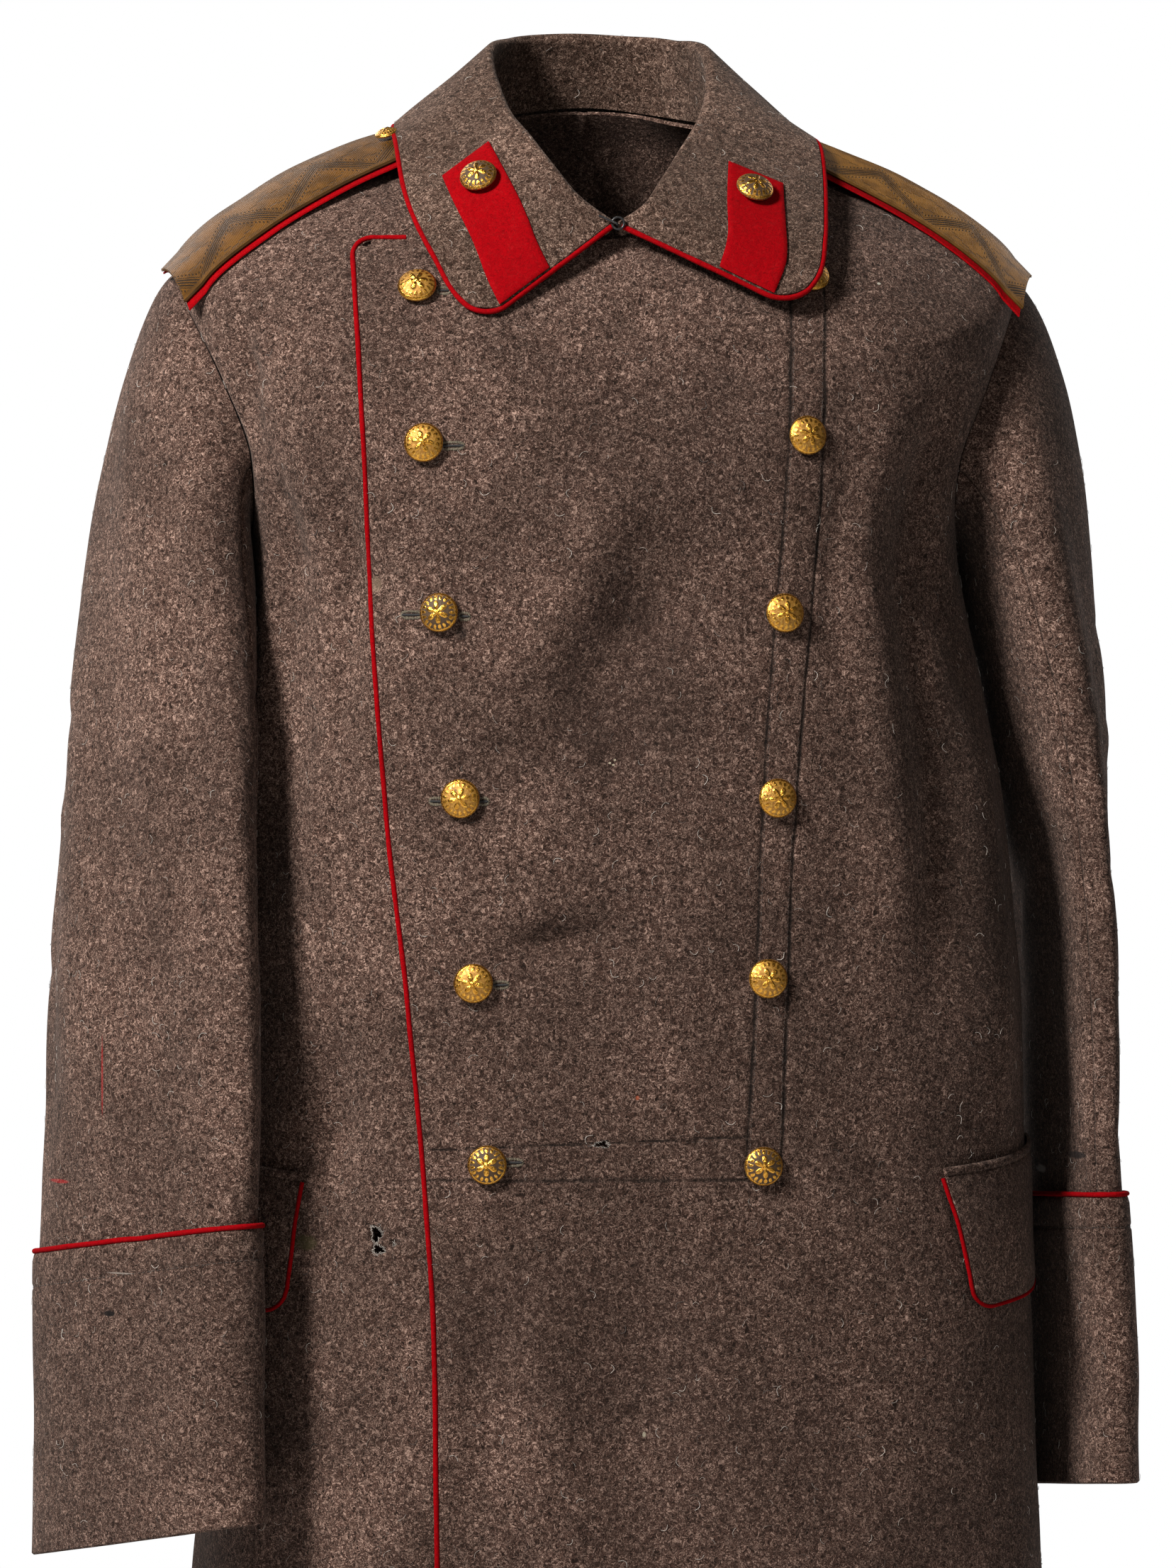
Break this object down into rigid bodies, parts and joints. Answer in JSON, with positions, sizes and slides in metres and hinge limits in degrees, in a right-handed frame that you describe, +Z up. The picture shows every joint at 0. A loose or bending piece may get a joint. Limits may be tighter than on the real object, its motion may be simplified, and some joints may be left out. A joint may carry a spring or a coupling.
{
  "type": "military greatcoat",
  "caption": "Double-breasted wool military greatcoat, worn and hollow, with red piping, collar tabs, gilt buttons, lace shoulder boards, deep cuffs and pocket flaps.",
  "frame": {"origin": "between the neck points at the level of the shoulder line, where the wearer's shoulders hold the coat", "axes": "+X towards the wearer's left, -Y the front of the coat, +Z up along the body"},
  "size_m": [0.6389, 0.3314, 1.3123],
  "materials": {
    "wool": "mottled brown-grey felted wool",
    "red_felt": "matt red felt",
    "gilt": "worn gilt",
    "lace": "woven metallic lace, worn",
    "black_wire": "black lacquer"
  },
  "bodies": {
    "root": {"front_left": "wool", "front_right": "wool", "back_left": "wool", "back_right": "wool", "sleeve_top_left": "wool", "sleeve_top_right": "wool", "sleeve_under_left": "wool", "sleeve_under_right": "wool", "cuff_left": "wool", "cuff_right": "wool", "collar": "wool", "flap_left": "wool", "flap_right": "wool", "welt_left": "wool", "welt_right": "wool", "cuff_piping_left": "red_felt", "cuff_piping_right": "red_felt", "collar_piping": "red_felt", "collar_tab_left": "red_felt", "collar_tab_right": "red_felt", "front_piping": "red_felt", "board_felt_left": "red_felt", "board_felt_right": "red_felt", "flap_piping_left": "red_felt", "flap_piping_right": "red_felt", "button_tab_left": "gilt", "button_tab_right": "gilt", "button_board_left": "gilt", "button_board_right": "gilt", "button_left_1": "gilt", "button_left_2": "gilt", "button_left_3": "gilt", "button_left_4": "gilt", "button_left_5": "gilt", "button_left_6": "gilt", "button_right_1": "gilt", "button_right_2": "gilt", "button_right_3": "gilt", "button_right_4": "gilt", "button_right_5": "gilt", "button_right_6": "gilt", "board_left": "lace", "board_right": "lace", "neck_hook": "black_wire", "neck_eye": "black_wire"}
  },
  "joints": []
}
